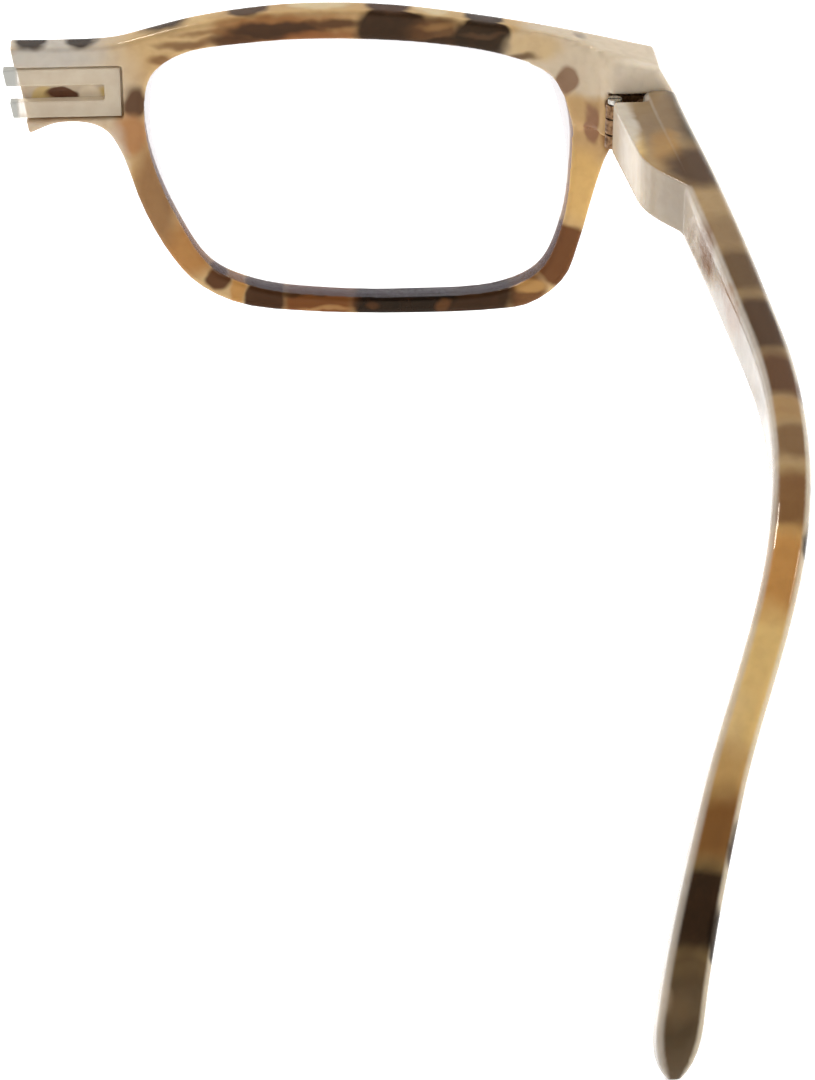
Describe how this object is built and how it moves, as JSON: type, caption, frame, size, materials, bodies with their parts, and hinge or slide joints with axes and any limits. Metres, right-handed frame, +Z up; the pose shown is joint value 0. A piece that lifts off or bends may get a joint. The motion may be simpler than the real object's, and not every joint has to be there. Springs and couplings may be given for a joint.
{
  "type": "folding reading glasses half",
  "caption": "One half of a folding pair of reading glasses: rim, lens, clear bridge fork, spring hinge and temple.",
  "frame": {"origin": "on the pair's centre plane, at the middle height of the bridge, on the back face of the rim", "axes": "+X from the nose towards the temple side, +Y the way the wearer looks, +Z up"},
  "size_m": [0.0779, 0.1354, 0.0467],
  "materials": {
    "tortoise": "gloss",
    "lens": "gloss",
    "clear_plastic": "satin",
    "copper": "satin",
    "steel": "satin"
  },
  "bodies": {
    "front": {"front_half": "tortoise", "lens": "lens", "bridge_fork": "clear_plastic", "front_hinge_leaf": "copper", "rivet_lower": "copper", "rivet_upper": "copper", "hinge_screw": "steel"},
    "slider": {"hinge_slider": "copper", "slider_collar": "steel"},
    "arm": {"temple": "tortoise", "spring_box": "copper", "hinge_spring": "steel"}
  },
  "joints": [
    {"name": "temple_fold", "type": "hinge", "parent": "front", "child": "slider", "pos_m": [0.0619, -0.0059, -0.0029], "axis": [0, 0, 1], "range_deg": [-90, 0]},
    {"name": "spring_slide", "type": "slide", "parent": "slider", "child": "arm", "axis": [0, -1, 0], "range_m": [0, 0.0015], "stiffness_N_per_m": 2000, "springref_m": -0.001}
  ]
}
